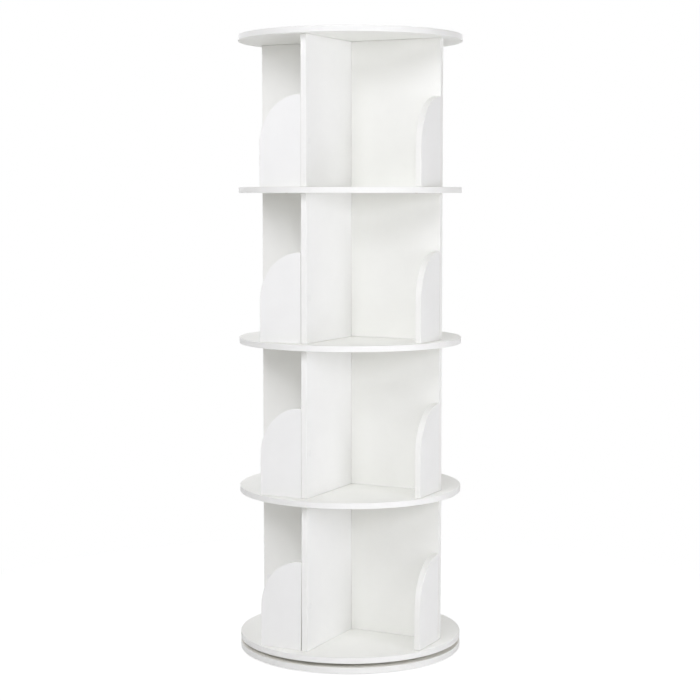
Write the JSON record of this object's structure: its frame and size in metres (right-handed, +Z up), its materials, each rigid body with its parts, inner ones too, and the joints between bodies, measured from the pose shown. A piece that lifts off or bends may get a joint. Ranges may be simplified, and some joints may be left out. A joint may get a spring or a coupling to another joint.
{
  "type": "revolving bookcase",
  "caption": "Tall round bookcase of stacked disc shelves with crossed dividers and arched book stops, turning freely on a ball swivel above a fixed round base.",
  "frame": {"origin": "on the turning axis, at floor level", "axes": "+Z up along the turning axis; the long divider of each tier lies along X, the short ones along Y"},
  "size_m": [0.46, 0.46, 1.2703],
  "materials": {
    "disc_board": "white melamine-faced board with white edge band, satin",
    "base_board": "white melamine-faced board with white edge band, satin",
    "divider_board": "white melamine-faced board with white edge band, satin",
    "stop_board": "white melamine-faced board with white edge band, satin",
    "dowel_wood": "bare beech",
    "swivel_steel": "zinc-plated pressed steel",
    "cage_plastic": "natural nylon",
    "pad_rubber": "matt foam rubber"
  },
  "bodies": {
    "base": {"base_disc": "base_board", "foot_pad_1": "pad_rubber", "foot_pad_2": "pad_rubber", "foot_pad_3": "pad_rubber", "foot_pad_4": "pad_rubber", "swivel_lower_plate": "swivel_steel"},
    "turning_stack": {"swivel_upper_plate": "swivel_steel", "bottom_disc": "disc_board", "shelf_disc_1": "disc_board", "shelf_disc_2": "disc_board", "shelf_disc_3": "disc_board", "top_disc": "disc_board", "tier_1_long_divider": "divider_board", "tier_1_short_divider_front": "divider_board", "tier_1_short_divider_back": "divider_board", "tier_2_long_divider": "divider_board", "tier_2_short_divider_front": "divider_board", "tier_2_short_divider_back": "divider_board", "tier_3_long_divider": "divider_board", "tier_3_short_divider_front": "divider_board", "tier_3_short_divider_back": "divider_board", "tier_4_long_divider": "divider_board", "tier_4_short_divider_front": "divider_board", "tier_4_short_divider_back": "divider_board", "tier_1_book_stop_right": "stop_board", "tier_1_book_stop_back": "stop_board", "tier_1_book_stop_left": "stop_board", "tier_1_book_stop_front": "stop_board", "tier_2_book_stop_right": "stop_board", "tier_2_book_stop_back": "stop_board", "tier_2_book_stop_left": "stop_board", "tier_2_book_stop_front": "stop_board", "tier_3_book_stop_right": "stop_board", "tier_3_book_stop_back": "stop_board", "tier_3_book_stop_left": "stop_board", "tier_3_book_stop_front": "stop_board", "tier_4_book_stop_right": "stop_board", "tier_4_book_stop_back": "stop_board", "tier_4_book_stop_left": "stop_board", "tier_4_book_stop_front": "stop_board", "bottom_disc_dowel_right": "dowel_wood", "shelf_disc_1_dowel_right": "dowel_wood", "shelf_disc_2_dowel_right": "dowel_wood", "shelf_disc_3_dowel_right": "dowel_wood", "top_disc_dowel_right": "dowel_wood", "bottom_disc_dowel_left": "dowel_wood", "shelf_disc_1_dowel_left": "dowel_wood", "shelf_disc_2_dowel_left": "dowel_wood", "shelf_disc_3_dowel_left": "dowel_wood", "top_disc_dowel_left": "dowel_wood", "tier_1_cross_dowel_low": "dowel_wood", "tier_1_cross_dowel_high": "dowel_wood", "tier_2_cross_dowel_low": "dowel_wood", "tier_2_cross_dowel_high": "dowel_wood", "tier_3_cross_dowel_low": "dowel_wood", "tier_3_cross_dowel_high": "dowel_wood", "tier_4_cross_dowel_low": "dowel_wood", "tier_4_cross_dowel_high": "dowel_wood"},
    "ball_cage": {"swivel_ball_cage": "cage_plastic"}
  },
  "joints": [
    {"name": "stack_turn", "type": "hinge", "parent": "base", "child": "turning_stack", "pos_m": [0, 0, 0.0223], "axis": [0, 0, 1], "continuous": true},
    {"name": "cage_turn", "type": "hinge", "parent": "base", "child": "ball_cage", "pos_m": [0, 0, 0.01735], "axis": [0, 0, 1], "continuous": true}
  ],
  "couplings": [
    {"joint": "cage_turn", "follows": "stack_turn", "ratio": 0.5}
  ]
}
